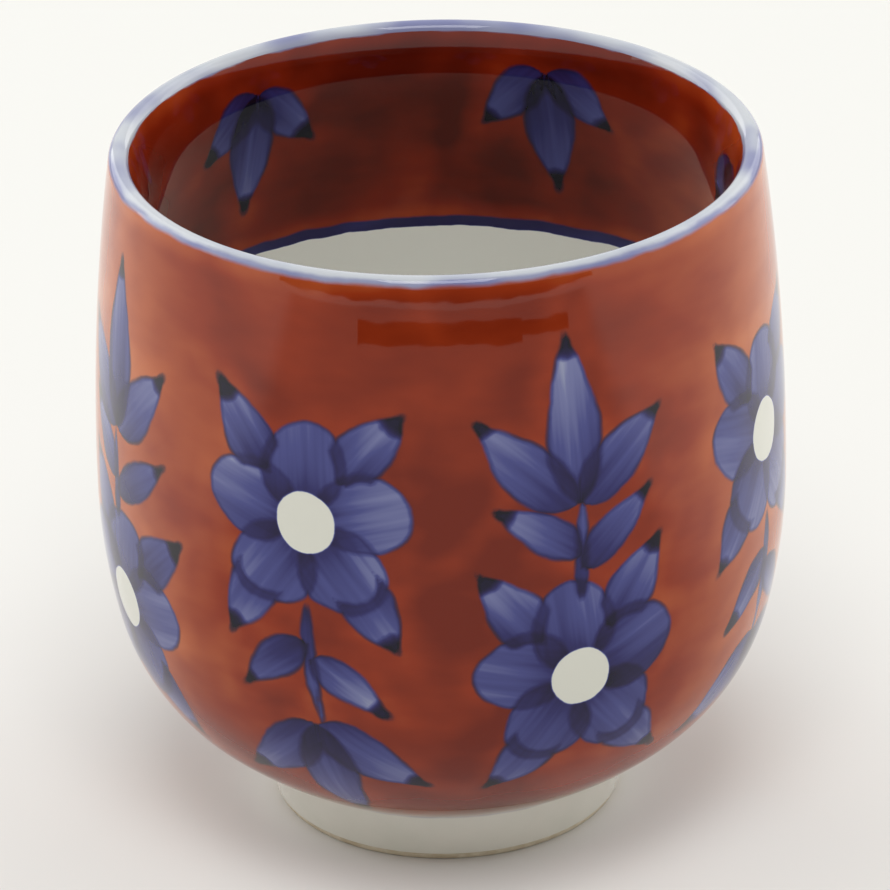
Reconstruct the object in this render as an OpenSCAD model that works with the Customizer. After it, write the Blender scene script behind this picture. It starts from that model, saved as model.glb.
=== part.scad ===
// Yunomi: a tall Japanese teacup without a handle, thrown and turned in porcelain.
// The wall is a chain of arcs that run into each other without a corner, once for the outside and once
// for the inside. The lip is a half round between them. Over the clay lies a thin glaze in patches of
// colour: a red ground with blue leaves and flowers, a blue lip, a white well and a white foot.
// Millimetres, +Z up. The origin is the centre of the foot, on the table.

/* [Cup] */
// Height from the table to the top of the lip
cup_h = 78; // [74:0.5:90]
// Outside diameter at the widest point of the belly
belly_d = 76; // [74:0.5:84]
// Height of the widest point above the table
belly_z = 39.5; // [37.5:0.5:44]
// How far the lip stands in from the belly, on each side
lip_in = 2.6; // [1.5:0.1:5]
// Radius of the flank, the curve just below the belly
flank_r = 66.8; // [58:0.2:76]
// Turn of the flank before the heel begins, in degrees
flank_turn = 13; // [10:0.5:16]
// Height at which the curve of the base would meet the axis
keel_z = 1; // [0:0.1:3]
// Height above it of the lowest point of the heel's round, where the wall turns in to the base
base_dish = 5; // [4:0.1:7]

/* [Wall] */
// Thickness of the lip
lip_t = 2.3; // [2:0.1:3.2]
// Thickness of the wall at the belly
wall_t = 4; // [3.4:0.1:5]
// Thickness of the floor at the axis
floor_t = 4.2; // [3:0.1:6]
// Height above the floor of the lowest point of the heel's round inside
floor_dish = 3; // [2:0.1:5]
// Thickness of the glaze
glaze_t = 0.3; // [0.2:0.05:0.5]

/* [Foot] */
// Outside diameter of the foot at the table
foot_d = 38.4; // [34:0.2:43]
// How far the foot widens from the table to the base, on each side
foot_flare = 1.6; // [0.8:0.1:3]
// Thickness of the foot's wall at the table
foot_wall_t = 3.2; // [2.4:0.1:5]
// Height of the hollow inside the foot
recess_h = 5; // [4:0.1:6]
// Bevel along both bottom edges of the foot
foot_bevel = 0.5; // [0.2:0.1:0.8]
// Height of the bare edge that the glaze stops short of
bare_h = 0.9; // [0.8:0.1:1.5]

/* [Painted bands] */
// Depth of the red band inside, from the top of the lip
inner_red_depth = 23.8; // [22:0.1:30]
// Width of the blue line under the red band inside
well_line_w = 1.1; // [0.6:0.1:2]
// Width of the blue line where the red ground ends above the foot
foot_line_w = 1.2; // [0.6:0.1:2]

/* [Painted flowers] */
// Columns of flowers around the outside, with high and low ones in turn
columns = 8; // [6:2:8]
// Petals of a flower
petals = 5; // [4:1:6]
// Diameter of a petal
petal_d = 10; // [8:0.2:11]
// Diameter of the circle of petal centres
petal_ring_d = 13; // [11:0.2:14]
// Diameter of the white heart
heart_d = 7; // [4:0.2:9]
// Drop from the top of the lip to the middle of the high flowers
high_flower_drop = 28; // [25:0.5:32]
// Height of the middle of the low flowers
low_flower_z = 31; // [28:0.5:34]

/* [Painted leaves] */
// Width of a leaf
leaf_w = 6.2; // [5:0.1:6.8]
// Length of a leaf tip, where the blue has pooled
pool_l = 3; // [2:0.1:4]
// Distance from the joint of a spray to its leaves
leaf_gap = 1; // [0.5:0.1:2]
// Length of the leaves behind a flower, from its centre
flower_leaf_l = 17.5; // [16.5:0.5:19]
// Leaves in a spray
spray_leaves = 3; // [2:1:5]
// Angle between the outermost leaves of a spray
spray_spread = 92; // [80:2:100]
// Length of the middle leaf of a spray
spray_mid_l = 19; // [15:0.5:21]
// Length of the outermost leaves of a spray
spray_side_l = 14.5; // [12:0.5:15.5]
// Drop from the top of the lip to the middle of the high sprays, which point up
high_spray_drop = 17; // [15:0.5:19]
// Height of the middle of the low sprays, which point down
low_spray_z = 16.5; // [15:0.5:19]
// Sprays around the inside, which hang from under the lip
inner_sprays = 6; // [4:1:7]
// Drop from the top of the lip to the middle of the inside sprays
inner_spray_drop = 12; // [11:0.5:14]
// Length of the middle leaf of an inside spray
inner_mid_l = 14.5; // [12:0.5:16]

/* [Hidden] */

// Sides of the round painted shapes
$fn = 96;
// Greatest distance between an arc of the wall and the chords that stand for it
chord_gap = 0.02;
// How deep and how proud a painted shape is, to pass through the curved glaze
paint_in = 8;
paint_out = 3;
// Directions of the leaves behind a flower, in degrees
flower_leaf_dirs = [55, 125, 235, 305];
// Direction of the first column, half a column to the left of the front
first_column = -90 - 180 / columns;

function along(turn) = [cos(turn), sin(turn)];
function reversed(p) = [for (i = [len(p) - 1 : -1 : 0]) p[i]];
function all_but_first(p) = [for (i = [1 : len(p) - 1]) p[i]];

// The middle and the radius of the lip's round
lip_r = lip_t / 2;
lip_c = [belly_d / 2 - lip_in - lip_r, cup_h - lip_r];

// The arcs of one face of the wall, from the base up: [centre, radius, lowest turn, highest turn].
// A turn is the angle of the face's normal above the horizontal. The base arc is centred on the axis, and
// the top arc touches the lip's round on its outer side (side 1) or its inner side (side -1).
function face_arcs(belly_r, flank_r, keel_z, dish, side) =
    let (
        d = lip_c - [belly_r, belly_z],
        top_r = (d * d - lip_r * lip_r) / (-2 * (d.x + side * lip_r)),
        top_turn = atan2(d.y, d.x + top_r),
        flank_c = [belly_r - flank_r, belly_z],
        heel_r = (belly_z - flank_r * sin(flank_turn) - keel_z - dish) / (1 - sin(flank_turn)),
        heel_c = flank_c + (flank_r - heel_r) * along(-flank_turn),
        heel_turn = 90 - 2 * atan(dish / heel_c.x),
        base_r = heel_r + heel_c.x / cos(heel_turn),
        base_c = [0, heel_c.y + (base_r - heel_r) * sin(heel_turn)]
    ) [
        [base_c, base_r, -90, -heel_turn],
        [heel_c, heel_r, -heel_turn, -flank_turn],
        [flank_c, flank_r, -flank_turn, 0],
        [[belly_r - top_r, belly_z], top_r, 0, top_turn]
    ];

outside = face_arcs(belly_d / 2, flank_r, keel_z, base_dish, 1);
inside = face_arcs(belly_d / 2 - wall_t, flank_r - wall_t, recess_h + floor_t, floor_dish, -1);

// Where a face is at a height
function arc_turn(arc, z) = asin(max(-1, min(1, (z - arc[0].y) / arc[1])));
function arc_at(face, z, i = 0) =
    i == len(face) - 1 || arc_turn(face[i], z) < face[i][3] ? face[i] : arc_at(face, z, i + 1);
function turn_at(face, z) = arc_turn(arc_at(face, z), z);
function radius_at(face, z) = let (arc = arc_at(face, z)) arc[0].x + arc[1] * cos(arc_turn(arc, z));

// The points of an arc, moved out by grow. Its chords are the same at every grow, so that a coat and the
// clay under it meet face to face.
function arc_points(arc, low, high, grow) =
    let (n = ceil(abs(high - low) * PI / 180 * arc[1] / sqrt(8 * arc[1] * chord_gap)))
    [for (i = [0 : n]) arc[0] + (arc[1] + grow) * along(low + (high - low) * i / n)];

// The points of a face between two heights, and through a list of heights
function face_points(face, low_z, high_z, grow) = [
    for (i = [0 : len(face) - 1])
        let (
            arc = face[i],
            low = max(arc[2], arc_turn(arc, low_z)),
            high = min(arc[3], arc_turn(arc, high_z)),
            runs_on = i > 0 && arc_turn(arc, low_z) < arc[2]
        )
        if (high > low)
            let (p = arc_points(arc, low, high, grow))
            each runs_on ? all_but_first(p) : p
];
function stretch_points(face, heights, grow) = [
    for (i = [0 : len(heights) - 2])
        let (p = face_points(face, heights[i], heights[i + 1], grow))
        each i > 0 ? all_but_first(p) : p
];

// The points of the lip's round, from the outside over the top to the inside
lip_arc = [lip_c, lip_r];
function lip_points(grow) = arc_points(lip_arc, outside[3][3], 180 + inside[3][3], grow);

// Where the foot meets the base, outside and in its bore, and the height that the foot line reaches
base = outside[0];
foot_r = foot_d / 2;
bore_r = foot_r - foot_wall_t;
join_turn = -acos((foot_r + foot_flare) / base[1]);
foot_join = base[0] + base[1] * along(join_turn);
seat_turn = -acos((bore_r + glaze_t) / (base[1] - glaze_t));
seat_z = base[0].y + base[1] * sin(seat_turn);
foot_line_z = base[0].y + base[1] * sin(join_turn + foot_line_w / base[1] * 180 / PI);

// The edges of the bands inside
inner_red_z = cup_h - inner_red_depth;
well_z = inner_red_z - well_line_w;

// The coat on the clay's side of a face between two heights: side -1 on the outside, 1 on the inside
module coat(face, low_z, high_z, side) {
    rotate_extrude() polygon(concat(
        face_points(face, low_z, high_z, 0),
        reversed(face_points(face, low_z, high_z, side * glaze_t))
    ));
}

module outer_coat() {
    coat(outside, foot_line_z, cup_h, -1);
}

module inner_coat() {
    coat(inside, inner_red_z, cup_h, 1);
}

// The radius of the foot's flank at a height
function flank_x(z) = foot_r + foot_flare * z / foot_join.y;

// A leaf from its stalk at the origin to its point on the x axis: the overlap of two circles
module leaf(l) {
    r = (l * l + leaf_w * leaf_w) / (4 * leaf_w);
    intersection() {
        translate([l / 2, r - leaf_w / 2]) circle(r);
        translate([l / 2, leaf_w / 2 - r]) circle(r);
    }
}

// The part of a leaf that is drawn: all of it, its blade, or the pooled tip
module leaf_part(l, part) {
    if (part == "whole") leaf(l);
    if (part == "tip") intersection() {
        leaf(l);
        translate([l, 0]) circle(pool_l);
    }
    if (part == "blade") difference() {
        leaf(l);
        translate([l, 0]) circle(pool_l);
    }
}

// A spray of leaves from one joint, centred on its middle leaf, which points in the direction dir
module spray(dir, mid_l, part) {
    for (i = [0 : spray_leaves - 1]) {
        side = 2 * i / (spray_leaves - 1) - 1;
        rotate(dir)
            translate([-mid_l / 2, 0])
                rotate(side * spray_spread / 2)
                    translate([leaf_gap, 0])
                        leaf_part(mid_l - (spray_mid_l - spray_side_l) * abs(side), part);
    }
}

// A flower: round petals about a heart, with leaves behind them
module petal_ring() {
    for (i = [0 : petals - 1])
        rotate(90 + i * 360 / petals) translate([petal_ring_d / 2, 0]) circle(d = petal_d);
}

module flower_leaves(part) {
    start = petal_ring_d / 2 - leaf_gap;
    for (dir = flower_leaf_dirs) rotate(dir) translate([start, 0]) leaf_part(flower_leaf_l - start, part);
}

// A flat shape, placed square to a face and made deep enough to pass through its coat.
// Its x axis runs to the right for someone who looks at the outside, and its y axis up the wall.
module on_face(face, turn_z, z) {
    rotate([0, 0, turn_z])
        translate([radius_at(face, z), 0, z])
            rotate([0, -turn_at(face, z), 0])
                translate([-paint_in, 0, 0])
                    rotate([90, 0, 90])
                        linear_extrude(paint_in + paint_out) children();
}

// The places of the flowers and the sprays: high and low ones take turns around the cup
module at_flower(i) {
    z = i % 2 == 0 ? cup_h - high_flower_drop : low_flower_z;
    on_face(outside, first_column + i * 360 / columns, z) children();
}

module outer_spray(i, part) {
    low = i % 2 == 0;
    on_face(outside, first_column + i * 360 / columns, low ? low_spray_z : cup_h - high_spray_drop)
        spray(low ? -90 : 90, spray_mid_l, part);
}

module inner_spray(i, part) {
    on_face(inside, first_column + i * 360 / inner_sprays, cup_h - inner_spray_drop)
        spray(-90, inner_mid_l, part);
}

// The pieces
module porcelain_body() {
    color("#e6e4da") rotate_extrude() polygon(concat(
        [[0, recess_h], [bore_r + glaze_t, recess_h]],
        stretch_points(outside, [seat_z, foot_join.y, foot_line_z, cup_h], -glaze_t),
        all_but_first(lip_points(-glaze_t)),
        all_but_first(reversed(stretch_points(inside, [0, well_z, inner_red_z, cup_h], glaze_t)))
    ));
}

module foot_ring() {
    color("#ddd9cc") rotate_extrude() polygon(concat(
        [
            [bore_r, foot_bevel],
            [bore_r + foot_bevel, 0],
            [foot_r - foot_bevel, 0],
            [flank_x(foot_bevel), foot_bevel],
            [flank_x(bare_h), bare_h],
            [flank_x(bare_h) - glaze_t, bare_h]
        ],
        reversed(face_points(outside, seat_z, foot_join.y, -glaze_t)),
        [[bore_r + glaze_t, bare_h], [bore_r, bare_h]]
    ));
}

module lip_band() {
    color("#a3adc8") rotate_extrude() polygon(concat(lip_points(0), reversed(lip_points(-glaze_t))));
}

module outer_red_ground() {
    color("#8a3c22") difference() {
        outer_coat();
        for (i = [0 : columns - 1]) {
            outer_spray(i, "whole");
            at_flower(i) {
                flower_leaves("whole");
                petal_ring();
                circle(d = heart_d);
            }
        }
    }
}

module outer_leaves() {
    color("#50558c") for (i = [0 : columns - 1]) {
        intersection() {
            outer_coat();
            outer_spray(i, "blade");
        }
        intersection() {
            outer_coat();
            at_flower(i) difference() {
                flower_leaves("blade");
                petal_ring();
            }
        }
    }
}

module outer_leaf_tips() {
    color("#23243a") for (i = [0 : columns - 1]) {
        intersection() {
            outer_coat();
            outer_spray(i, "tip");
        }
        intersection() {
            outer_coat();
            at_flower(i) flower_leaves("tip");
        }
    }
}

module outer_petals() {
    color("#454a82") for (i = [0 : columns - 1]) intersection() {
        outer_coat();
        at_flower(i) difference() {
            petal_ring();
            circle(d = heart_d);
        }
    }
}

module outer_flower_hearts() {
    color("#e2e0d6") for (i = [0 : columns - 1]) intersection() {
        outer_coat();
        at_flower(i) circle(d = heart_d);
    }
}

module inner_red_ground() {
    color("#7a321c") difference() {
        inner_coat();
        for (i = [0 : inner_sprays - 1]) inner_spray(i, "whole");
    }
}

module inner_leaves() {
    color("#474d84") for (i = [0 : inner_sprays - 1]) intersection() {
        inner_coat();
        inner_spray(i, "blade");
    }
}

module inner_leaf_tips() {
    color("#20213a") for (i = [0 : inner_sprays - 1]) intersection() {
        inner_coat();
        inner_spray(i, "tip");
    }
}

module well_line() {
    color("#4a5078") coat(inside, well_z, inner_red_z, 1);
}

module well_glaze() {
    color("#dcdccf") coat(inside, 0, well_z, 1);
}

module foot_line() {
    color("#5f6580") coat(outside, foot_join.y, foot_line_z, -1);
}

module foot_glaze() {
    color("#dedbd0") rotate_extrude() polygon([
        [flank_x(bare_h) - glaze_t, bare_h],
        [flank_x(bare_h), bare_h],
        foot_join,
        base[0] + (base[1] - glaze_t) * along(join_turn)
    ]);
}

module base_glaze() {
    color("#dedbd0") rotate_extrude() polygon([
        [0, recess_h - glaze_t],
        [bore_r, recess_h - glaze_t],
        [bore_r, bare_h],
        [bore_r + glaze_t, bare_h],
        [bore_r + glaze_t, recess_h],
        [0, recess_h]
    ]);
}

porcelain_body();
foot_ring();
lip_band();
outer_red_ground();
outer_leaves();
outer_leaf_tips();
outer_petals();
outer_flower_hearts();
inner_red_ground();
inner_leaves();
inner_leaf_tips();
well_line();
well_glaze();
foot_line();
foot_glaze();
base_glaze();
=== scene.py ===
from functools import partial
import bpy
import numpy as np
from mathutils import Matrix, Vector


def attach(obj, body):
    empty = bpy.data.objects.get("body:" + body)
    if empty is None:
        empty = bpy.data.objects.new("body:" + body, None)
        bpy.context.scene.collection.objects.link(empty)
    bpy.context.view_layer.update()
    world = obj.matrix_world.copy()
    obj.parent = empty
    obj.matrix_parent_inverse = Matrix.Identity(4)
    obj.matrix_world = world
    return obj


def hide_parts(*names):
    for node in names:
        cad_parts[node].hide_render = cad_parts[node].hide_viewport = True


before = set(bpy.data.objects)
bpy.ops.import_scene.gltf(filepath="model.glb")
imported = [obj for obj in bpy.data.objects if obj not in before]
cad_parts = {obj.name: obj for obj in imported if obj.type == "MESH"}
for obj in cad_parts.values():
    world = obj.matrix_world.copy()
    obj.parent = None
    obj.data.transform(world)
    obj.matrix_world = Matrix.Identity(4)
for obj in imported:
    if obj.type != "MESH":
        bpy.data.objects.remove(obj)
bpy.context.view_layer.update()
mm = 0.001
circle = 2 * np.pi

# Cup in millimetres and degrees, the same arcs as the solids; belly, lip and flank are radii
cup = dict(height=78.0, belly=38.0, bellyZ=39.5, lip=1.15, lipIn=2.6, flank=66.8, flankTurn=13.0, keel=1.0,
           dish=5.0, wall=4.0, floor=9.2, floorDish=3.0, glaze=0.3, easeDepth=8.0, redDepth=23.8)
# Steps of the meshes: millimetres along the profiles, then rows, then counts round the cup
steps = dict(outer=0.45, lip=0.16, inner=0.9, back=4.0, lipBack=0.5, easedRows=96, footRows=24, footSkip=6,
             corner=6, outerRound=440, innerRound=480, footRound=240)
lipC = np.array([cup["belly"] - cup["lipIn"] - cup["lip"], cup["height"] - cup["lip"]])
coat = cup["glaze"]


# unit vectors at these turns
def along(turn):
    return np.stack([np.cos(turn), np.sin(turn)], -1)


# Base, heel, flank and top arc of one face of the wall, each (centre, radius, low turn, high turn), all
# tangent. The top arc leaves the belly upright and touches the lip's circle, which lies inside it for the
# outer face (side 1) and outside it for the inner one (side -1). The heel's circle would bottom out one
# dish above the keel, and the base, centred on the axis, reaches down to the keel.
def wallArcs(belly, flank, keel, dish, side):
    turn = np.radians(cup["flankTurn"])
    toLip = lipC - [belly, cup["bellyZ"]]
    top = (toLip @ toLip - cup["lip"] ** 2) / (-2 * (toLip[0] + side * cup["lip"]))
    topC = np.array([belly - top, cup["bellyZ"]])
    flankC = np.array([belly - flank, cup["bellyZ"]])
    heel = (cup["bellyZ"] - flank * np.sin(turn) - keel - dish) / (1 - np.sin(turn))
    heelC = flankC + (flank - heel) * along(-turn)
    heelTurn = np.pi / 2 - 2 * np.arctan(dish / heelC[0])
    base = heel + heelC[0] / np.cos(heelTurn)
    baseC = np.array([0, heelC[1] + (base - heel) * np.sin(heelTurn)])
    return [(baseC, base, -np.pi / 2, -heelTurn), (heelC, heel, -heelTurn, -turn),
            (flankC, flank, -turn, 0.0), (topC, top, 0.0, np.arctan2(toLip[1], toLip[0] + top))]


# points of an arc about every step millimetres, at its radius plus grow
def runArc(arc, step, low, high, grow=0.0):
    n = max(2, int(np.ceil(abs(high - low) * arc[1] / step)))
    return arc[0] + (arc[1] + grow) * along(np.linspace(low, high, n + 1))


# runs of points end to end, without the point that two of them share
def chain(*runs):
    return np.concatenate([runs[0]] + [r[1:] for r in runs[1:]])


# length along a profile from its first point to each of its points
def lengthAlong(profile):
    return np.concatenate([[0], np.cumsum(np.hypot(*np.diff(profile, axis=0).T))])


# Foot in millimetres. The sides of the bare ring end under the glaze at ringIn and ringOut, and its back
# lies in the clay, core deep, from coreIn to coreOut.
foot = dict(radius=19.2, flare=1.6, wall=3.2, recess=5.0, bevel=0.5, bare=0.9, fillet=1.0,
            ringIn=4.0, ringOut=5.5, core=1.2, coreIn=4.2, coreOut=5.2)
outside = wallArcs(cup["belly"], cup["flank"], cup["keel"], cup["dish"], 1)
inside = wallArcs(cup["belly"] - cup["wall"], cup["flank"] - cup["wall"], cup["floor"],
                  cup["floorDish"], -1)
base = outside[0]
joinTurn = -np.arccos((foot["radius"] + foot["flare"]) / base[1])
joinPoint = base[0] + base[1] * along(joinTurn)
evenR = outside[3][1] - cup["wall"]


# radius inside a wall of even thickness at height z: a parabola as curved as an arc about the outer centre
def evenInside(z):
    return cup["belly"] - cup["wall"] - (z - cup["bellyZ"]) ** 2 / (2 * evenR)


# The lip's inner side is eased outwards by a parabola over its last millimetres. It ends on the lip's
# circle with the circle's own slope, and its turn there settles in a few rounds from a first guess.
easeTurn = np.radians(12.0)
for _ in range(20):
    easeEnd = lipC + cup["lip"] * along(np.pi - easeTurn)
    easeOut = easeEnd[0] - evenInside(easeEnd[1])
    easeTurn = np.arctan(2 * easeOut / cup["easeDepth"] - (easeEnd[1] - cup["bellyZ"]) / evenR)


# the even wall plus the easing, which grows with the square of the way up its depth
def easedInside(z):
    rise = np.clip(1 - (easeEnd[1] - z) / cup["easeDepth"], 0, None)
    return evenInside(z) + easeOut * rise ** 2


lipArc = (lipC, cup["lip"])
lipTurns = outside[3][3], np.pi - easeTurn
outerArcs = [(base, joinTurn, base[3])] + [(a, a[2], a[3]) for a in outside[1:]]
outerFace = chain(*[runArc(a, steps["outer"], low, high) for a, low, high in outerArcs],
                  runArc(lipArc, steps["lip"], *lipTurns))
outerBack = chain(*[runArc(a, steps["back"], low, high, -coat) for a, low, high in outerArcs],
                  runArc(lipArc, steps["lipBack"], *lipTurns, -coat))
wallZ = np.linspace(easeEnd[1], cup["bellyZ"], steps["easedRows"])
innerFace = chain(np.stack([easedInside(wallZ), wallZ], -1),
                  *[runArc(a, steps["inner"], a[3], a[2]) for a in inside[2::-1]])
innerBack = chain(*[runArc(a, steps["back"], a[3], a[2], coat) for a in inside[::-1]])
print("profiles", len(outerFace), len(innerFace), "points, lip eased by", round(np.degrees(easeTurn), 1),
      "degrees")

# UV map of a shell: the face along its length, and above it one narrow strip for the back and the two rims
chart = dict(start=0.01, face=0.9, backFrom=0.99, backTo=0.93, rim=0.005)
onAxis = 1e-6


# Closed shell of revolution: the face profile and then the back profile turned about Z, row by row. A row
# on the axis is one vertex, and the two rims between face and back stay crisp. It returns the piece, its
# points in millimetres, and for each point the length along the face.
def revolve(name, face, back, sides):
    loop = np.concatenate([face, back[::-1]])
    rows, last = len(loop), len(face) - 1
    pole = loop[:, 0] < onAxis
    nextPole = np.roll(pole, -1)
    turn = np.arange(sides) * circle / sides
    grid = np.stack([np.outer(loop[:, 0], np.cos(turn)), np.outer(loop[:, 0], np.sin(turn)),
                     np.repeat(loop[:, 1:], sides, 1)], -1)
    keep = ~pole[:, None] | (np.arange(sides) == 0)
    number = np.cumsum(keep).reshape(rows, sides) - 1
    number[pole] = number[pole][:, :1]
    row, column = np.arange(rows)[:, None], np.arange(sides)[None, :]
    nextRow, nextColumn = (row + 1) % rows, (column + 1) % sides
    corners = np.stack([number[row, column], number[row, nextColumn],
                        number[nextRow, nextColumn], number[nextRow, column]], -1)
    run = lengthAlong(face)
    low = np.concatenate([chart["start"] + chart["face"] * run / run[-1],
                          np.linspace(chart["backFrom"], chart["backTo"], len(back))])
    high = np.roll(low, -1)
    low[last] = high[last] + chart["rim"]
    high[-1] = low[-1] - chart["rim"]
    u0, u1 = np.broadcast_arrays(column / sides, (column + 1) / sides, row)[:2]
    v0, v1 = np.broadcast_arrays(low[:, None], high[:, None], column)[:2]
    uv = np.stack([u0, v0, u1, v0, u1, v1, u0, v1], -1).reshape(rows, sides, 4, 2)
    # beside a pole a face drops one corner, and between two poles there is no face
    drop = np.zeros((rows, sides, 4), bool)
    drop[pole, :, 1] = True
    drop[nextPole, :, 2] = True
    real = ~(pole & nextPole)
    corners, uv, drop = corners[real].reshape(-1, 4), uv[real].reshape(-1, 4, 2), drop[real].reshape(-1, 4)
    sizes = 4 - drop.sum(1)
    mesh = bpy.data.meshes.new(name)
    mesh.vertices.add(int(keep.sum()))
    mesh.vertices.foreach_set("co", (grid[keep] * mm).astype(np.float32).ravel())
    mesh.loops.add(int(sizes.sum()))
    mesh.loops.foreach_set("vertex_index", corners[~drop].astype(np.int32))
    mesh.polygons.add(len(sizes))
    mesh.polygons.foreach_set("loop_start", (np.cumsum(sizes) - sizes).astype(np.int32))
    mesh.update(calc_edges=True)
    mesh.shade_smooth()
    mesh.uv_layers.new(name="OFBake").data.foreach_set("uv", uv[~drop].astype(np.float32).ravel())
    ends = np.empty(len(mesh.edges) * 2, np.int32)
    mesh.edges.foreach_get("vertices", ends)
    rowOf = np.broadcast_to(row, (rows, sides))[keep][ends].reshape(-1, 2)
    crisp = (rowOf[:, 0] == rowOf[:, 1]) & np.isin(rowOf[:, 0], (0, last, last + 1, rows - 1))
    mesh.attributes.new("sharp_edge", "BOOLEAN", "EDGE").data.foreach_set("value", crisp)
    piece = bpy.data.objects.new(name, mesh)
    bpy.context.scene.collection.objects.link(piece)
    runs = np.concatenate([run, np.full(len(back), run[-1])])
    return piece, grid[keep], np.broadcast_to(runs[:, None], (rows, sides))[keep]


outerGlaze, outerPoints, outerRun = revolve("outer_painted_glaze", outerFace, outerBack,
                                            steps["outerRound"])
innerGlaze, innerPoints, innerRun = revolve("inner_painted_glaze", innerFace, innerBack,
                                            steps["innerRound"])
print("painted shells", len(outerGlaze.data.polygons), len(innerGlaze.data.polygons), "faces")


# the foot's side leans in a straight line from the join down to the ground
def footSide(z):
    return foot["radius"] + foot["flare"] * z / joinPoint[1]


bore, bare, bevel = foot["radius"] - foot["wall"], foot["bare"], foot["bevel"]
sideZ = np.linspace(bare, joinPoint[1], steps["footRows"] + 1)
backZ = sideZ[::steps["footSkip"]]
footGlaze = revolve("foot_clear_glaze", np.stack([footSide(sideZ), sideZ], -1),
                    np.stack([footSide(backZ) - coat, backZ], -1), steps["footRound"])[0]
# bare ring: under the glaze inside, round the two bevels below, and under the glaze outside
quarter = along(np.linspace(0, np.pi / 2, steps["corner"] + 1))
ringIn = [[bore + coat, foot["ringIn"]], [bore + coat, bare], [bore, bare]]
ringOut = [[footSide(bare), bare], [footSide(bare) - coat, bare],
           [footSide(foot["ringOut"]) - coat, foot["ringOut"]]]
ringFace = np.concatenate([ringIn, [bore + bevel, bevel] - bevel * quarter,
                           [foot["radius"] - bevel, bevel] + bevel * quarter[:, ::-1] * [1, -1], ringOut])
ringBack = np.array([[bore + foot["core"], foot["coreIn"]],
                     [footSide(foot["ringOut"]) - foot["core"], foot["coreOut"]]])
footRing = revolve("foot_ring_bare_porcelain", ringFace, ringBack, steps["footRound"])[0]
# glaze of the recess: flat above, round a fillet and down to the bare edge
ceiling = foot["recess"] - coat
fillet = np.array([bore, ceiling]) - foot["fillet"] + foot["fillet"] * quarter[::-1]
baseFace = np.concatenate([[[0, ceiling], [bore / 2, ceiling]], fillet, [[bore, bare]]])
baseBack = np.array([[0, ceiling + coat], [bore + coat, ceiling + coat], [bore + coat, bare]])
baseGlaze = revolve("base_clear_glaze", baseFace, baseBack, steps["footRound"])[0]
print("foot", *[len(piece.data.polygons) for piece in (footGlaze, footRing, baseGlaze)], "faces")

# Painted design in millimetres. Each motif lies on a plane that touches the wall, as in the solids. Strokes
# are signed distances to their outlines, below zero inside, in layers within which no two strokes cross.
design = dict(columns=8, highFlower=50.0, lowFlower=31.0, highSpray=61.0, lowSpray=16.5,
              innerSprays=6, innerSpray=66.0, innerMid=14.5, innerLoad=1.25)
hand = np.random.default_rng(11)  # the unsteady hand, the same in each run
farAway = 60.0  # stands for any place that a stroke doesn't come near
planeReach = 12.0  # what lies farther off the plane is another side of the cup
streakShift = 23.0  # moves the streaks of each stroke on, so that no two are alike
plainTip = 9.0  # distance to the tip for strokes without a dark one


# coordinates of points on the plane that touches the wall at this azimuth and height
def touchingPlane(arcs, azimuth, z, points):
    turns = [np.arcsin(np.clip((z - a[0][1]) / a[1], -1, 1)) for a in arcs]
    n = [t <= a[3] for t, a in zip(turns[:3], arcs)].index(True) if z < cup["bellyZ"] else 3
    turn, radius = turns[n], arcs[n][0][0] + arcs[n][1] * np.cos(turns[n])
    c, s = np.cos(azimuth), np.sin(azimuth)
    offset = points - [radius * c, radius * s, z]
    away = np.abs(offset @ [c * np.cos(turn), s * np.cos(turn), np.sin(turn)]) > planeReach
    right = offset @ [-s, c, 0]
    up = offset @ [-c * np.sin(turn), -s * np.sin(turn), np.cos(turn)]
    return np.where(away, farAway, right), np.where(away, farAway, up)


# layers of strokes over all points: distance to the tip, place across, distance to the outline, load
def newPainting(points, layers):
    blank = np.tile(np.array([farAway, 0, farAway, 0]), (layers, len(points), 1))
    return dict(strokes=blank, heart=np.full(len(points), farAway), count=0)


# a stroke takes the points of its layer that lie nearer to it than to the strokes before it
def addStroke(painting, layer, tip, across, edge, load):
    painting["count"] += 1
    stroke = np.stack([tip, across + streakShift * painting["count"], edge, load], -1)
    nearer = (edge < painting["strokes"][layer, :, 2])[:, None]
    painting["strokes"][layer] = np.where(nearer, stroke, painting["strokes"][layer])


# a leaf is widest at this share of its length; slant allows for outlines that run aslant to its width
blade = dict(wide=6.2, gap=0.3, widest=0.36, basePower=0.6, tipPower=1.06, slant=0.9, drop=0.55,
             load=0.95, baseLoad=1.35, baseFade=1.8,
             bendSway=0.04, fullSway=0.13, dropSway=0.15, loadSway=0.1, sideSway=0.35)


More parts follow.
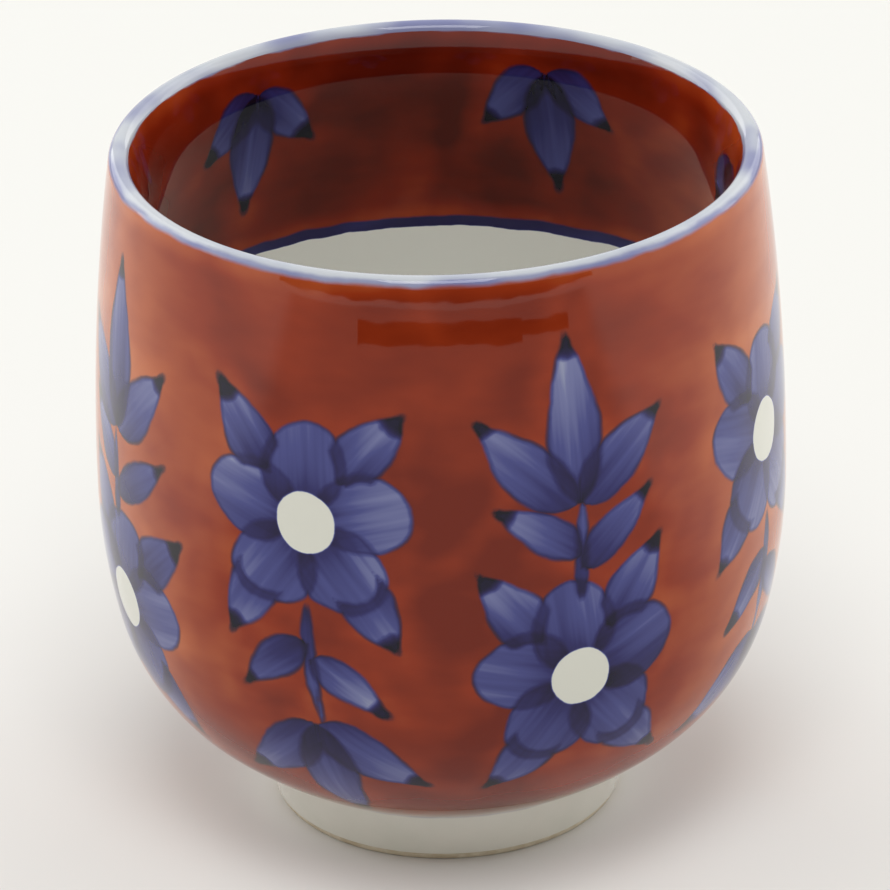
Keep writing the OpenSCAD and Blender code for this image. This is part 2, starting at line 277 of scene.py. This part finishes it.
# Leaf: half width grows as a power of the way from the base and shrinks as one of the way to the tip,
# fuller on one side, about an axis bent into a parabola, with a small oval drop left at a dark tip. The
# load of colour falls off as a power of the way from base to tip, and leans to one side. The leaf keeps to
# where clear, a signed distance too, is below zero.
def leaf(painting, layer, x, y, turn, start, length, wide, tipDark=True, clear=-farAway):
    c, s = np.cos(turn), np.sin(turn)
    reach, across = x * c + y * s - start, y * c - x * s
    across = across - hand.normal(0, blade["bendSway"]) * length * np.clip(reach / length, -0.5, 1.5) ** 2
    way = np.clip(reach / length, 0, 1)
    half = wide / 2 * (way / blade["widest"]) ** blade["basePower"]
    half = half * ((1 - way) / (1 - blade["widest"])) ** blade["tipPower"]
    half = half * (1 + hand.normal(0, blade["fullSway"]) * np.sign(across))
    edge = np.hypot(np.abs(across) - half, reach - way * length)
    within = (np.abs(across) < half) & (edge < farAway / 2)
    edge = np.where(within, np.abs(across) - half, edge) * blade["slant"]
    tip = np.full(len(x), plainTip)
    if tipDark:
        tip = np.hypot(reach - length, across)
        drop = blade["drop"] * hand.normal(1, blade["dropSway"])
        edge = np.minimum(edge, np.hypot((reach - length) / 2 + drop, across) - drop)
    edge = np.maximum(edge, clear)
    load = hand.normal(blade["load"], blade["loadSway"])
    load = load + blade["baseLoad"] * (1 - way) ** blade["baseFade"]
    load = load + hand.normal(0, blade["sideSway"]) * np.clip(across / wide, -1, 1)
    addStroke(painting, layer, tip, across, edge, load)


# leaves shorter than fullLeaf are narrower too; spread in degrees
fan = dict(mid=19.0, side=14.5, spread=92.0, fullLeaf=12.0, turnSway=0.06, longSway=0.03)


# spray: three leaves that fan out from one point
def spray(painting, x, y, turn, mid, side):
    x, y = x + np.cos(turn) * mid / 2, y + np.sin(turn) * mid / 2
    spread = np.radians(fan["spread"] / 2)
    for layer, lean, length in ((0, -spread, side), (0, spread, side), (1, 0, mid)):
        leaf(painting, layer, x, y, turn + lean + hand.normal(0, fan["turnSway"]), blade["gap"],
             length * hand.normal(1, fan["longSway"]), blade["wide"] * min(1, length / fan["fullLeaf"]))


bloom = dict(petal=5.0, ring=6.5, heart=3.5, heartWide=1.03, heartHigh=0.97, petalLayers=(0, 1, 0, 1, 2),
             twoWaves=0.05, threeWaves=0.035, load=1.15, heartLoad=0.9, heartFade=2.6,
             leafLayer=3, leafEnd=17.5, leafTurns=(55, 125, 235, 305), tuck=1.3,
             tiltSway=0.12, petalSway=0.03, loadSway=0.1, sideSway=0.25, leafSway=0.04, longSway=0.03)


# Flower: round petals about a bare heart, their radius uneven by a wave of two and one of three round
# each, with four leaves tucked behind. The load of colour falls off exponentially from the heart, and
# leans to one side.
def flower(painting, x, y):
    tilt = hand.normal(0, bloom["tiltSway"])
    rings, petals = np.hypot(x, y), np.full(len(x), farAway)
    for i, layer in enumerate(bloom["petalLayers"]):
        turn = np.pi / 2 + i * circle / len(bloom["petalLayers"]) + tilt
        turn = turn + hand.normal(0, bloom["petalSway"])
        outX, outY = x - bloom["ring"] * np.cos(turn), y - bloom["ring"] * np.sin(turn)
        angle = np.arctan2(outY, outX) - turn
        waves = 1 + bloom["twoWaves"] * np.cos(2 * angle + hand.normal())
        waves = waves + bloom["threeWaves"] * np.cos(3 * angle + hand.uniform(0, circle))
        edge = np.hypot(outX, outY) - bloom["petal"] * waves
        petals = np.minimum(petals, edge)
        across = y * np.cos(turn) - x * np.sin(turn)
        offHeart = np.clip(rings - bloom["heart"], 0, None)
        load = hand.normal(bloom["load"], bloom["loadSway"])
        load = load + bloom["heartLoad"] * np.exp(-offHeart / bloom["heartFade"])
        load = load + hand.normal(0, bloom["sideSway"]) * np.clip(across / bloom["petal"], -1, 1)
        addStroke(painting, layer, plainTip + rings, across, edge, load)
    start = bloom["ring"] - blade["gap"]
    for turn in bloom["leafTurns"]:
        turn = np.radians(turn) + tilt + hand.normal(0, bloom["leafSway"])
        length = (bloom["leafEnd"] - start) * hand.normal(1, bloom["longSway"])
        leaf(painting, bloom["leafLayer"], x, y, turn, start, length, blade["wide"],
             clear=-petals - bloom["tuck"])
    oval = np.hypot(x * bloom["heartWide"], y * bloom["heartHigh"])
    painting["heart"] = np.minimum(painting["heart"], oval - bloom["heart"])


# the painting goes on the shell as attributes for each layer of strokes, and others for hearts and length
def layOn(piece, painting, run):
    floats = dict(heart=painting["heart"], run=run)
    for n, strokes in enumerate(painting["strokes"]):
        floats[f"load{n}"] = strokes[:, 3]
        stroke = piece.data.attributes.new(f"stroke{n}", "FLOAT_VECTOR", "POINT")
        stroke.data.foreach_set("vector", strokes[:, :3].astype(np.float32).ravel())
    for name, values in floats.items():
        column = piece.data.attributes.new(name, "FLOAT", "POINT")
        column.data.foreach_set("value", values.astype(np.float32))
    print(piece.name, "has", painting["count"], "strokes")


# a stem is a thin leaf from under a petal into the spray; its two small leaves are lean and share of the way
stem = dict(wide=1.5, fromPetal=0.6, intoSpray=1.0, long=1.06, leaves=((-0.9, 0.3), (0.9, 0.42)),
            leaf=11.5, leafWide=4.6, leafGap=0.2, layer=2, leafLayer=3, leanSway=0.08, longSway=0.06)
outerLayers, innerLayers = 4, 2
outerPainting, innerPainting = newPainting(outerPoints, outerLayers), newPainting(innerPoints, innerLayers)
firstColumn = -np.pi / 2 - np.pi / design["columns"]
for i in range(design["columns"]):
    # a high flower has its spray below, a low one above
    flowerZ, sprayZ, sprayTurn = design["highFlower"], design["lowSpray"], -np.pi / 2
    if i % 2:
        flowerZ, sprayZ, sprayTurn = design["lowFlower"], design["highSpray"], np.pi / 2
    azimuth = firstColumn + i * circle / design["columns"]
    place = partial(touchingPlane, outside, azimuth, points=outerPoints)
    flower(outerPainting, *place(z=flowerZ))
    spray(outerPainting, *place(z=sprayZ), sprayTurn, fan["mid"], fan["side"])
    stemFrom = flowerZ + np.sin(sprayTurn) * (bloom["ring"] + stem["fromPetal"] * bloom["petal"])
    stemTo = sprayZ - np.sin(sprayTurn) * (fan["mid"] / 2 - stem["intoSpray"])
    leaf(outerPainting, stem["layer"], *place(z=stemFrom), sprayTurn, 0,
         abs(stemTo - stemFrom) * stem["long"], stem["wide"], tipDark=False)
    for lean, way in stem["leaves"]:
        turn = sprayTurn + lean + hand.normal(0, stem["leanSway"])
        length = stem["leaf"] * hand.normal(1, stem["longSway"])
        leaf(outerPainting, stem["leafLayer"], *place(z=stemFrom + (stemTo - stemFrom) * way), turn,
             stem["leafGap"], length, stem["leafWide"])
innerSide = design["innerMid"] - fan["mid"] + fan["side"]
for i in range(design["innerSprays"]):
    azimuth = firstColumn + i * circle / design["innerSprays"]
    place = touchingPlane(inside, azimuth, design["innerSpray"], innerPoints)
    spray(innerPainting, *place, -np.pi / 2, design["innerMid"], innerSide)
innerPainting["strokes"][..., 3] *= design["innerLoad"]
layOn(outerGlaze, outerPainting, outerRun)
layOn(innerGlaze, innerPainting, innerRun)


# sRGB hex to linear RGBA
def linear(hexColour):
    c = np.array([int(hexColour[i:i + 2], 16) / 255 for i in (1, 3, 5)])
    c = np.where(c <= 0.04045, c / 12.92, ((c + 0.055) / 1.055) ** 2.4)
    return (*c.tolist(), 1.0)


# One node. Given values or sockets go to its inputs in order, and None leaves an input alone. Settings are
# its properties, its inputs by name or number, or the stops of a ramp, both ends first. It returns the
# output asked for.
def addNode(tree, kind, *given, out=0, **settings):
    node = tree.nodes.new("ShaderNode" + kind)
    wanted = list(enumerate(given))
    for key, value in settings.items():
        if key == "stops":
            for n, (place, colour) in enumerate(value):
                stop = node.color_ramp.elements[n] if n < 2 else node.color_ramp.elements.new(place)
                stop.position, stop.color = place, linear(colour)
        elif hasattr(node, key):
            setattr(node, key, value)
        else:
            wanted.append((int(key[5:]) if key.startswith("input") else key.replace("_", " "), value))
    for key, value in wanted:
        if isinstance(value, bpy.types.NodeSocket):
            tree.links.new(value, node.inputs[key])
        elif value is not None:
            node.inputs[key].default_value = linear(value) if isinstance(value, str) else value
    return node.outputs[out] if node.outputs else node


# an empty material, and addNode for it
def newMaterial(name):
    material = bpy.data.materials.new(name)
    material.use_nodes = True
    material.node_tree.nodes.clear()
    return material, partial(addNode, material.node_tree)


eased = dict(interpolation_type="SMOOTHSTEP")
colours = dict(data_type="RGBA", out=2)  # for a Mix node, whose inputs 6 and 7 are then the colours
ripple = dict(size=6.0, strength=0.012)  # slow waves in the skin of a glaze

# Porcelain painted by brush under a clear glossy glaze. The iron red is orange where it is thin, as beside
# the blue, and brown where it is thick. The cobalt shows the streaks of the bristles, darkens where
# strokes cross and at their outlines, and pools almost black at the tips. Sizes are in millimetres,
# thickness and load have no unit.
# one white glaze, painted darker outside and paler in the well: painted shade and painted light
paint = dict(outerShadedWhite="#d2d3ca", innerLitWhite="#e6e9e2", wash="#b2b8c2", light="#70759f", cobalt="#464a82",
             dense="#2c2b60", crossed="#211c46", pool="#0b0a18", outline="#2a1a2c",
             outerReds=("#bd6b3e", "#aa542c", "#882f14", "#6a1f0d"),
             innerReds=("#b04e22", "#a2401a", "#741f0b", "#4c1006"), rough=0.025, ior=1.4,
             # unsteady outlines, and how soft they are
             shake=4.5, wander=0.5, tipWander=2.2, heartWander=0.7, bandWander=0.8, blotch=6.0,
             coverSoft=0.45, edgeSoft=0.2, heartSoft=0.15,
             # load of a stroke
             bristle=0.9, washLong=14.0, broad=3.5, streakLoad=0.5, leastLoad=0.22, leastCover=0.02,
             rimFrom=0.55, rimTo=0.1, rimLoad=0.45, poolLong=2.3, poolSoft=0.7, poolLoad=2.8, fullLoad=4.0,
             # bands round the cup
             around=11.0, aroundFlat=3.0, frontPaler=0.12, bandPatch=(0.35, 0.7), bandRim=0.9, besideWide=2.4,
             # thickness of the red, with painted shade at the front and back and painted light at the sides
             cloud=13.0, cloudThick=0.45, brushed=9.0, brushedFlat=2.5, brushedThick=0.2, frontShadeThick=0.33,
             outerSideLightThin=0.42, innerSideLightThin=0.24, besideThin=0.15,
             haloFrom=0.2, haloTo=3.4, haloPatch=(0.35, 0.65), haloThin=0.1,
             # dark outlines and pinholes
             lineFrom=0.02, lineTo=0.3, linePatch=(0.4, 0.65), lineLeast=0.1, lineMost=0.7,
             fleck=0.14, fleckSoft=0.3, fleckGap=11.0)


def paintedGlaze(name, layers, reds, sideLightThin, white, bands):
    material, add = newMaterial(name)
    spot = add("VectorMath", add("TexCoord", out=3), operation="SCALE", Scale=1 / mm)
    x, y = add("SeparateXYZ", spot).node.outputs[:2]
    shaky = add("TexNoise", Vector=spot, Scale=1 / paint["shake"], Detail=3.0, Roughness=0.45)
    shaky = add("Math", shaky, 2 * paint["wander"], -paint["wander"], operation="MULTIPLY_ADD")
    blotch = add("TexNoise", Vector=spot, Scale=1 / paint["blotch"], Detail=1.0)
    # load of each layer: streaks along the bristles and broader patches, times the stroke's own load, with
    # more at the outline and most in the pool at a tip
    total, strongest, covered, nearest = 0.0, 0.0, 0.0, farAway
    for n in range(layers):
        stroke = add("Attribute", out=1, attribute_name=f"stroke{n}")
        tip, across, edge = add("SeparateXYZ", stroke).node.outputs
        edge = add("Math", edge, shaky, operation="ADD")
        cover = add("MapRange", edge, paint["coverSoft"], -paint["coverSoft"], **eased)
        drawn = add("Math", tip, paint["bristle"] / paint["washLong"], operation="MULTIPLY")
        bristles = add("CombineXYZ", drawn, across)
        streak = add("TexNoise", Vector=bristles, Scale=1 / paint["bristle"], Detail=1.5, Roughness=0.6)
        broad = add("TexNoise", Vector=bristles, Scale=1 / paint["broad"], Detail=1.0)
        wash = add("Math", streak, paint["streakLoad"], paint["leastLoad"], operation="MULTIPLY_ADD")
        wash = add("Math", wash, broad, operation="ADD")
        wash = add("Math", wash, add("Attribute", out=2, attribute_name=f"load{n}"), operation="MULTIPLY")
        rim = add("MapRange", edge, -paint["rimFrom"], -paint["rimTo"], 0.0, paint["rimLoad"], **eased)
        tip = add("Math", shaky, paint["tipWander"], tip, operation="MULTIPLY_ADD")
        pool = add("MapRange", tip, paint["poolLong"] + paint["poolSoft"],
                   paint["poolLong"] - paint["poolSoft"], 0.0, paint["poolLoad"], **eased)
        load = add("Math", wash, rim, operation="ADD")
        load = add("Math", load, pool, operation="ADD")
        load = add("Math", load, cover, operation="MULTIPLY")
        total = add("Math", total, load, operation="ADD")
        strongest = add("Math", strongest, load, operation="MAXIMUM")
        covered = add("Math", covered, cover, operation="MAXIMUM")
        nearest = add("Math", nearest, edge, operation="MINIMUM")
    # where strokes cross, the strongest counts in full and the others by half; soft edges don't dilute it
    density = add("Math", total, strongest, operation="ADD")
    density = add("Math", density, 0.5, operation="MULTIPLY")
    covered = add("Math", covered, paint["leastCover"], operation="MAXIMUM")
    density = add("Math", density, covered, operation="DIVIDE")
    # the hearts of the flowers stay bare
    heart = add("Attribute", out=2, attribute_name="heart")
    heart = add("Math", shaky, paint["heartWander"], heart, operation="MULTIPLY_ADD")
    heart = add("MapRange", heart, paint["heartSoft"], -paint["heartSoft"], **eased)
    offHeart = add("Math", 1.0, heart, operation="SUBTRACT")
    density = add("Math", density, offHeart, operation="MULTIPLY")
    painted = add("MapRange", nearest, paint["edgeSoft"], -paint["edgeSoft"], **eased)
    painted = add("Math", painted, heart, operation="MAXIMUM")
    # bands: uneven all round, paler towards the front, in part a painted highlight, their load laid a little
    # wider than they show
    run = add("Attribute", out=2, attribute_name="run")
    run = add("Math", shaky, paint["bandWander"], run, operation="MULTIPLY_ADD")
    around = add("VectorMath", spot, (1, 1, paint["aroundFlat"]), operation="MULTIPLY")
    around = add("TexNoise", Vector=around, Scale=1 / paint["around"], Detail=1.5)
    around = add("Math", y, paint["frontPaler"] / cup["belly"], around, operation="MULTIPLY_ADD")
    beside = 0.0
    for low, high, soft, least, most, rimMore in bands:
        start = add("MapRange", run, low - soft, low + soft, **eased)
        end = add("MapRange", run, high + soft, high - soft, **eased)
        painted = add("Math", painted, add("Math", start, end, operation="MULTIPLY"), operation="MAXIMUM")
        load = add("MapRange", around, *paint["bandPatch"], least, most, **eased)
        rim = add("MapRange", run, low + paint["bandRim"], low + soft, 0.0, rimMore, **eased)
        load = add("Math", rim, load, operation="ADD")
        start = add("MapRange", run, low - 2 * soft, low - soft, **eased)
        end = add("MapRange", run, high + 2 * soft, high + soft, **eased)
        density = add("Mix", add("Math", start, end, operation="MULTIPLY"), None, density, load)
        before = add("Math", low, run, operation="SUBTRACT")
        after = add("Math", run, high, operation="SUBTRACT")
        off = add("Math", before, after, operation="MAXIMUM")
        off = add("MapRange", off, paint["besideWide"], 0.0, **eased)
        beside = add("Math", beside, off, operation="MAXIMUM")
    density = add("Math", density, 1 / paint["fullLoad"], operation="MULTIPLY", use_clamp=True)
    blue = add("ValToRGB", density,
               stops=[(0.0, white), (1.0, paint["pool"]), (0.11, paint["wash"]), (0.19, paint["light"]),
                      (0.3, paint["cobalt"]), (0.46, paint["dense"]), (0.66, paint["crossed"])])
    # thickness of the red: cloudy and brushed, thick and dark at the front and back as painted shade, and
    # thinner and lighter to both sides by the square of x as painted light; thinner also beside the bands
    # and in places round the strokes
    clouds = add("TexNoise", Vector=spot, Scale=1 / paint["cloud"], Detail=1.5, Roughness=0.4,
                 Distortion=0.8)
    brushed = add("VectorMath", spot, (1, 1, paint["brushedFlat"]), operation="MULTIPLY")
    brushed = add("TexNoise", Vector=brushed, Scale=1 / paint["brushed"], Detail=2.0)
    aside = add("Math", x, 1 / cup["belly"], operation="MULTIPLY")
    aside = add("Math", aside, aside, operation="MULTIPLY")
    thick = add("Math", aside, -sideLightThin, paint["frontShadeThick"], operation="MULTIPLY_ADD")
    thick = add("Math", clouds, paint["cloudThick"], thick, operation="MULTIPLY_ADD")
    thick = add("Math", brushed, paint["brushedThick"], thick, operation="MULTIPLY_ADD")
    thick = add("Math", beside, -paint["besideThin"], thick, operation="MULTIPLY_ADD")
    halo = add("MapRange", nearest, paint["haloTo"], paint["haloFrom"], **eased)
    patches = add("MapRange", blotch, *paint["haloPatch"], 0.0, paint["haloThin"], **eased)
    halo = add("Math", halo, patches, operation="MULTIPLY")
    red = add("ValToRGB", add("Math", thick, halo, operation="SUBTRACT"),
              stops=[(0.1, reds[0]), (0.68, reds[3]), (0.25, reds[1]), (0.5, reds[2])])
    colour = add("Mix", painted, input6=red, input7=blue, **colours)
    # a thin dark outline, stronger in places, and a few pinholes where the colour missed
    line = add("Math", nearest, operation="ABSOLUTE")
    line = add("MapRange", line, paint["lineTo"], paint["lineFrom"], **eased)
    patches = add("MapRange", blotch, *paint["linePatch"], paint["lineLeast"], paint["lineMost"], **eased)
    line = add("Math", line, patches, operation="MULTIPLY")
    line = add("Math", line, offHeart, operation="MULTIPLY")
    colour = add("Mix", line, input6=colour, input7=paint["outline"], **colours)
    fleck = paint["fleck"] / paint["fleckGap"]
    flecks = add("TexVoronoi", Vector=spot, Scale=1 / paint["fleckGap"])
    flecks = add("MapRange", flecks, fleck * (1 + paint["fleckSoft"]), fleck * (1 - paint["fleckSoft"]),
                 **eased)
    colour = add("Mix", flecks, input6=colour, input7=white, **colours)
    waves = add("TexNoise", Vector=spot, Scale=1 / ripple["size"], Detail=2.0)
    skin = add("Bump", Strength=ripple["strength"], Distance=mm, Height=waves)
    glaze = add("BsdfPrincipled", Base_Color=colour, Roughness=paint["rough"], IOR=paint["ior"],
                Normal=skin)
    add("OutputMaterial", glaze)
    return material


# Bands run round the cup, measured along the face: from, to, softness, least and most load, more load at
# the lower rim. The lip's wash goes over the lip and ends as lipEdge on the inner shell.
beforeFace, pastFace = -9.0, 999.0  # beyond either end of a face
lipRun = outerRun.max() - cup["lip"] * (lipTurns[1] - lipTurns[0])
redEnd = np.interp(cup["redDepth"], cup["height"] - wallZ, lengthAlong(innerFace[:len(wallZ)]))
footLine = (beforeFace, 0.8, 0.3, 0.5, 1.0, 0.0)
lipWash = (lipRun + 0.3, pastFace, 0.3, 0.38, 0.74, 0.3)
lipEdge = (beforeFace, 0.05, 0.15, 0.5, 0.8, 0.0)
wellWhite = (redEnd + 0.5, pastFace, 0.2, 0.0, 0.0, 0.0)
wellLine = (redEnd, redEnd + 1.0, 0.2, 1.8, 2.5, 0.0)
outerPaint = paintedGlaze("brushed cobalt and iron red under clear glaze", outerLayers, paint["outerReds"],
                          paint["outerSideLightThin"], paint["outerShadedWhite"], [footLine, lipWash])
innerPaint = paintedGlaze("brushed cobalt and iron red inside the cup", innerLayers, paint["innerReds"],
                          paint["innerSideLightThin"], paint["innerLitWhite"], [lipEdge, wellWhite, wellLine])

# Clear glaze over white porcelain: an off-white with a smooth gloss; on the foot the blue line above it
# has run a little way down
clear = dict(white="#d3d3c9", paler="#dcdad1", line="#5d6488", lineMost=0.75, lineFrom=-0.1, lineTo=0.5,
             mottle=8.0, waver=5.0, waverHigh=0.5, rough=0.06, ior=1.5)
noLine = 99.0  # above the whole cup


def clearGlaze(name, lineAbove):
    material, add = newMaterial(name)
    spot = add("VectorMath", add("TexCoord", out=3), operation="SCALE", Scale=1 / mm)
    mottle = add("TexNoise", Vector=spot, Scale=1 / clear["mottle"], Detail=3.0)
    colour = add("ValToRGB", mottle, stops=[(0.3, clear["white"]), (0.7, clear["paler"])])
    waver = add("TexNoise", Vector=spot, Scale=1 / clear["waver"])
    high = add("Math", waver, clear["waverHigh"], add("SeparateXYZ", spot, out=2), operation="MULTIPLY_ADD")
    line = add("MapRange", high, lineAbove + clear["lineFrom"], lineAbove + clear["lineTo"],
               0.0, clear["lineMost"], **eased)
    colour = add("Mix", line, input6=colour, input7=clear["line"], **colours)
    waves = add("TexNoise", Vector=spot, Scale=1 / ripple["size"], Detail=2.0)
    skin = add("Bump", Strength=ripple["strength"], Distance=mm, Height=waves)
    glaze = add("BsdfPrincipled", Base_Color=colour, Roughness=clear["rough"], IOR=clear["ior"],
                Normal=skin)
    add("OutputMaterial", glaze)
    return material


# Bare fired porcelain: a warm matt white, mottled and finely gritty
clay = dict(brown="#b5a78d", white="#cfc6b2", mottle=1.5, grit=0.25, gritHigh=0.2, gritStrength=0.25,
            rough=0.7, ior=1.5)


def barePorcelain():
    material, add = newMaterial("bare fired porcelain")
    spot = add("VectorMath", add("TexCoord", out=3), operation="SCALE", Scale=1 / mm)
    mottle = add("TexNoise", Vector=spot, Scale=1 / clay["mottle"], Detail=4.0)
    colour = add("ValToRGB", mottle, stops=[(0.3, clay["brown"]), (0.7, clay["white"])])
    grit = add("TexNoise", Vector=spot, Scale=1 / clay["grit"], Detail=3.0)
    skin = add("Bump", Strength=clay["gritStrength"], Distance=clay["gritHigh"] * mm, Height=grit)
    matt = add("BsdfPrincipled", Base_Color=colour, Roughness=clay["rough"], IOR=clay["ior"], Normal=skin)
    add("OutputMaterial", matt)
    return material


bareClay = barePorcelain()
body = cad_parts["porcelain_body"]
body.data.materials.clear()
footCoat = clearGlaze("clear glaze with the end of the blue line", joinPoint[1])
baseCoat = clearGlaze("clear glaze over white porcelain", noLine)
for piece, material in ((outerGlaze, outerPaint), (innerGlaze, innerPaint), (footGlaze, footCoat),
                        (baseGlaze, baseCoat), (footRing, bareClay), (body, bareClay)):
    piece.data.materials.append(material)
print("materials", len(bpy.data.materials))

for piece, slot, nodes in (
        (outerGlaze, "red_ground", ("outer_red_ground", "outer_leaves", "outer_leaf_tips", "outer_petals",
                                    "outer_flower_hearts", "lip_band", "foot_line")),
        (innerGlaze, "red_ground", ("inner_red_ground", "inner_leaves", "inner_leaf_tips", "well_line",
                                    "well_glaze")),
        (footGlaze, "clear_glaze", ("foot_glaze",)),
        (footRing, "bare_porcelain", ("foot_ring",)),
        (baseGlaze, "clear_glaze", ("base_glaze",))):
    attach(piece, "root")
    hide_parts(*nodes)

# Stage, in metres: a pale floor, soft lamps, and cards in front that give the glaze something to reflect.
# Lamps are name, place, size and watts; cards are shade, near rim, far rim, and two turns in degrees.
studio = dict(floorBack="#dedfdd", floorFront="#e4e4e2", paleFrom=0.02, paleTo=-0.08, floorHalf=1.4,
              worldLight="#fffaf2", worldLevel=0.5, worldSeen="#fbfaf5", aim=(0, 0, 0.04),
              lamps=[("front_softbox", (0.0, -0.6, 1.2), 0.6, 7.3),
                     ("left_softbox", (-1.2, 0.2, 0.65), 1.1, 5.6),
                     ("right_softbox", (1.2, 0.2, 0.65), 1.1, 5.4),
                     ("back_left_softbox", (-0.9, 0.9, 0.7), 1.2, 7.2),
                     ("back_right_softbox", (0.9, 0.9, 0.7), 1.2, 6.0)],
              grey="#c0beba", greyFrom=0.0, greyTo=-0.06, sidesFrom=0.06, sidesTo=0.11, sidesLean=0.8,
              gradedHigh=0.0005, cardHigh=0.001, cardSteps=24, squash=0.86,
              black="#0c0b0a", white="#f6f5f2",
              cards=[("black", 0.36, 0.412, -29.0, 29.5), ("black", 0.371, 0.402, 29.5, 45.5),
                     ("black", 0.47, 0.8, -56.5, 55.0), ("white", 0.45, 0.47, -56.5, 55.0)])


# a flat piece of the stage; the camera, soft light and shadows pass by one that is for the gloss only
def stagePiece(name, verts, faces, material, glossOnly=True):
    mesh = bpy.data.meshes.new(name)
    mesh.from_pydata(verts, [], faces)
    mesh.materials.append(material)
    thing = bpy.data.objects.new(name, mesh)
    bpy.context.scene.collection.objects.link(thing)
    thing.visible_camera = thing.visible_diffuse = thing.visible_shadow = not glossOnly


# Matt paper, a little paler towards the front of the table, painted light that lifts the cup's shadow there
paper, add = newMaterial("matt paper")
y = add("SeparateXYZ", add("TexCoord", out=3), out=1)
depth = add("MapRange", y, studio["paleFrom"], studio["paleTo"])
colour = add("ValToRGB", depth, stops=[(0.0, studio["floorBack"]), (1.0, studio["floorFront"])])
add("OutputMaterial", add("BsdfDiffuse", colour))
square = studio["floorHalf"] * np.array([(-1, -1, 0), (1, -1, 0), (1, 1, 0), (-1, 1, 0)])
stagePiece("pale_floor", square, [(0, 1, 2, 3)], paper, glossOnly=False)

# Graded card, greyer in front as a painted shadow before the foot and whiter at both sides as painted
# light, that only the gloss of the glaze picks up
graded, add = newMaterial("graded card")
x, y = add("SeparateXYZ", add("TexCoord", out=3)).node.outputs[:2]
depth = add("MapRange", y, studio["greyFrom"], studio["greyTo"])
colour = add("ValToRGB", depth, stops=[(0.0, studio["floorFront"]), (1.0, studio["grey"])])
ahead = add("Math", y, 0.0, operation="MINIMUM")
aside = add("Math", x, operation="ABSOLUTE")
aside = add("Math", ahead, studio["sidesLean"], aside, operation="MULTIPLY_ADD")
aside = add("MapRange", aside, studio["sidesFrom"], studio["sidesTo"], **eased)
colour = add("Mix", aside, input6=colour, input7=studio["white"], **colours)
add("OutputMaterial", add("BsdfDiffuse", colour))
stagePiece("graded_card", square + [0, 0, studio["gradedHigh"]], [(0, 1, 2, 3)], graded)

# Black and white card, each a sector of an oval ring flat on the floor, its turn measured from the front
cardPaper = {}
for shade in ("black", "white"):
    cardPaper[shade], add = newMaterial(shade + " card")
    add("OutputMaterial", add("BsdfDiffuse", studio[shade]))
for n, (shade, near, far, fromTurn, toTurn) in enumerate(studio["cards"]):
    turn = np.radians(np.linspace(fromTurn, toTurn, studio["cardSteps"] + 1))
    rim = np.stack([studio["squash"] * np.sin(turn), -np.cos(turn), np.zeros(len(turn))], -1)
    verts = np.concatenate([near * rim, far * rim]) + [0, 0, studio["cardHigh"]]
    i = np.arange(studio["cardSteps"])
    faces = np.stack([i, i + len(turn), i + len(turn) + 1, i + 1], -1)
    stagePiece(f"card_{n}", verts, faces.tolist(), cardPaper[shade])

for name, place, size, watts in studio["lamps"]:
    lamp = bpy.data.lights.new(name, "AREA")
    lamp.size, lamp.energy = size, watts
    holder = bpy.data.objects.new(name, lamp)
    holder.location = place
    holder.rotation_euler = (Vector(studio["aim"]) - Vector(place)).to_track_quat("-Z", "Y").to_euler()
    bpy.context.scene.collection.objects.link(holder)

# the world lights at its own level, and shows as a plain white to the camera, in gloss and through glass
world = bpy.data.worlds.new("soft white studio")
bpy.context.scene.world = world
world.use_nodes = True
world.node_tree.nodes.clear()
add = partial(addNode, world.node_tree)
seen = 0.0
for ray in ("Is Camera Ray", "Is Glossy Ray", "Is Transmission Ray"):
    seen = add("Math", seen, add("LightPath", out=ray), operation="MAXIMUM")
light = add("Background", studio["worldLight"], studio["worldLevel"])
add("OutputWorld", add("MixShader", seen, light, add("Background", studio["worldSeen"], 1.0)))
print("stage", len(studio["cards"]) + 2, "sheets,", len(studio["lamps"]), "lamps")

# Camera of the photograph, in metres, degrees and millimetres
view = dict(place=(0, -0.651735, 0.363633), pitch=26.29368, yaw=0.03569, roll=-1.10472,
            lens=266.655, sensor=36.0, near=0.05, far=50)
pitch, yaw, roll = (np.radians(view[k]) for k in ("pitch", "yaw", "roll"))
forward = np.array([np.sin(yaw) * np.cos(pitch), np.cos(yaw) * np.cos(pitch), -np.sin(pitch)])
level = np.cross(forward, [0, 0, 1.0])
level /= np.linalg.norm(level)
over = np.cross(level, forward)
right, up = np.cos(roll) * level + np.sin(roll) * over, np.cos(roll) * over - np.sin(roll) * level
camera = bpy.data.objects.new("camera", bpy.data.cameras.new("camera"))
camera.data.sensor_width, camera.data.lens = view["sensor"], view["lens"]
camera.data.clip_start, camera.data.clip_end = view["near"], view["far"]
turned = Matrix(np.stack([right, up, -forward], -1).tolist()).to_4x4()
camera.matrix_world = Matrix.Translation(view["place"]) @ turned
bpy.context.scene.collection.objects.link(camera)
bpy.context.scene.camera = camera
bpy.context.scene.view_settings.view_transform = "Standard"
